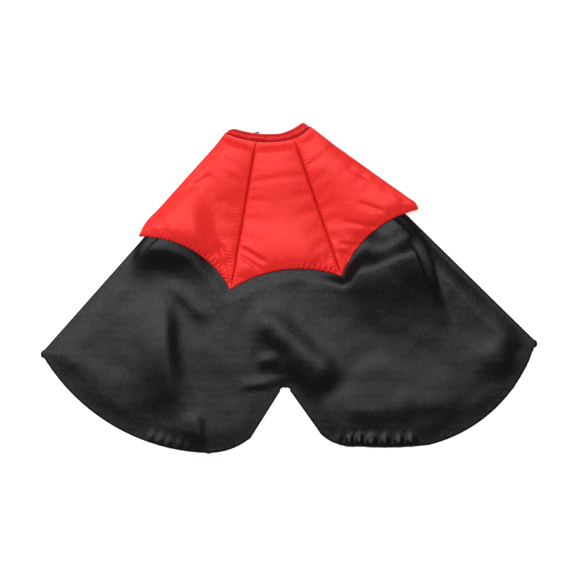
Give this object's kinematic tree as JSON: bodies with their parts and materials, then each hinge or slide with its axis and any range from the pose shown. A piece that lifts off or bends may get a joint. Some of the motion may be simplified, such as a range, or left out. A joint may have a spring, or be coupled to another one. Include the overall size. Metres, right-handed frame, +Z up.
{
  "type": "bat-wing costume cape",
  "caption": "Small satin costume cape with two bat-wing lobes, a padded scalloped collar with rib seams, a neckband and a hook-and-loop neck closure, laid out flat.",
  "frame": {"origin": "middle of the cape's plan box, on the table that it lies on", "axes": "+X across the wings towards the right wing as seen from above, +Y from the tail notch to the neckline, +Z up from the table"},
  "size_m": [0.495, 0.33, 0.0143],
  "materials": {
    "black_satin": "satin weave, soft violet-grey sheen",
    "red_satin": "satin weave, bright soft sheen",
    "red_lining": "satin weave",
    "wadding": "matt polyester wadding",
    "red_thread": "twisted polyester thread",
    "black_thread": "twisted polyester thread",
    "hook_tape": "stiff nylon hooks on woven tape",
    "loop_tape": "soft nylon loops on woven tape"
  },
  "bodies": {
    "cape": {"cape_shell_centre": "black_satin", "cape_lining_centre": "red_lining", "neckband": "red_satin", "neckband_topstitching": "red_thread", "collar_seam_strip": "red_satin"},
    "left_wing": {"cape_shell_left_wing": "black_satin", "cape_lining_left_wing": "red_lining"},
    "right_wing": {"cape_shell_right_wing": "black_satin", "cape_lining_right_wing": "red_lining"},
    "collar": {"collar_backing": "red_satin", "collar_panel_left": "red_satin", "collar_panel_centre": "red_satin", "collar_panel_right": "red_satin", "collar_wadding_left": "wadding", "collar_wadding_centre": "wadding", "collar_wadding_right": "wadding", "rib_stitching_left": "red_thread", "rib_stitching_right": "red_thread"},
    "strap": {"neck_strap": "black_satin", "hook_patch": "hook_tape", "hook_patch_stitching": "black_thread"},
    "tab": {"neck_tab": "black_satin", "loop_patch": "loop_tape", "loop_patch_stitching": "black_thread"}
  },
  "joints": [
    {"name": "left_wing_fold", "type": "hinge", "parent": "cape", "child": "left_wing", "pos_m": [-0.15645, 0, 0.006], "axis": [0, 1, 0], "range_deg": [0, 140]},
    {"name": "right_wing_fold", "type": "hinge", "parent": "cape", "child": "right_wing", "pos_m": [0.13535, 0, 0.006], "axis": [0, -1, 0], "range_deg": [0, 140]},
    {"name": "collar_lift", "type": "hinge", "parent": "cape", "child": "collar", "pos_m": [-0.014, 0.14245, 0.0138], "axis": [-1, 0, 0], "range_deg": [0, 120]},
    {"name": "strap_open", "type": "hinge", "parent": "cape", "child": "strap", "pos_m": [0.0116, 0.1464, 0.0083], "axis": [0, -1, 0], "range_deg": [0, 150]},
    {"name": "tab_open", "type": "hinge", "parent": "cape", "child": "tab", "pos_m": [-0.0566, 0.14626, 0.0083], "axis": [-0.1392, 0.9903, 0], "range_deg": [0, 150]}
  ],
  "couplings": [
    {"joint": "tab_open", "follows": "strap_open", "ratio": 1}
  ]
}
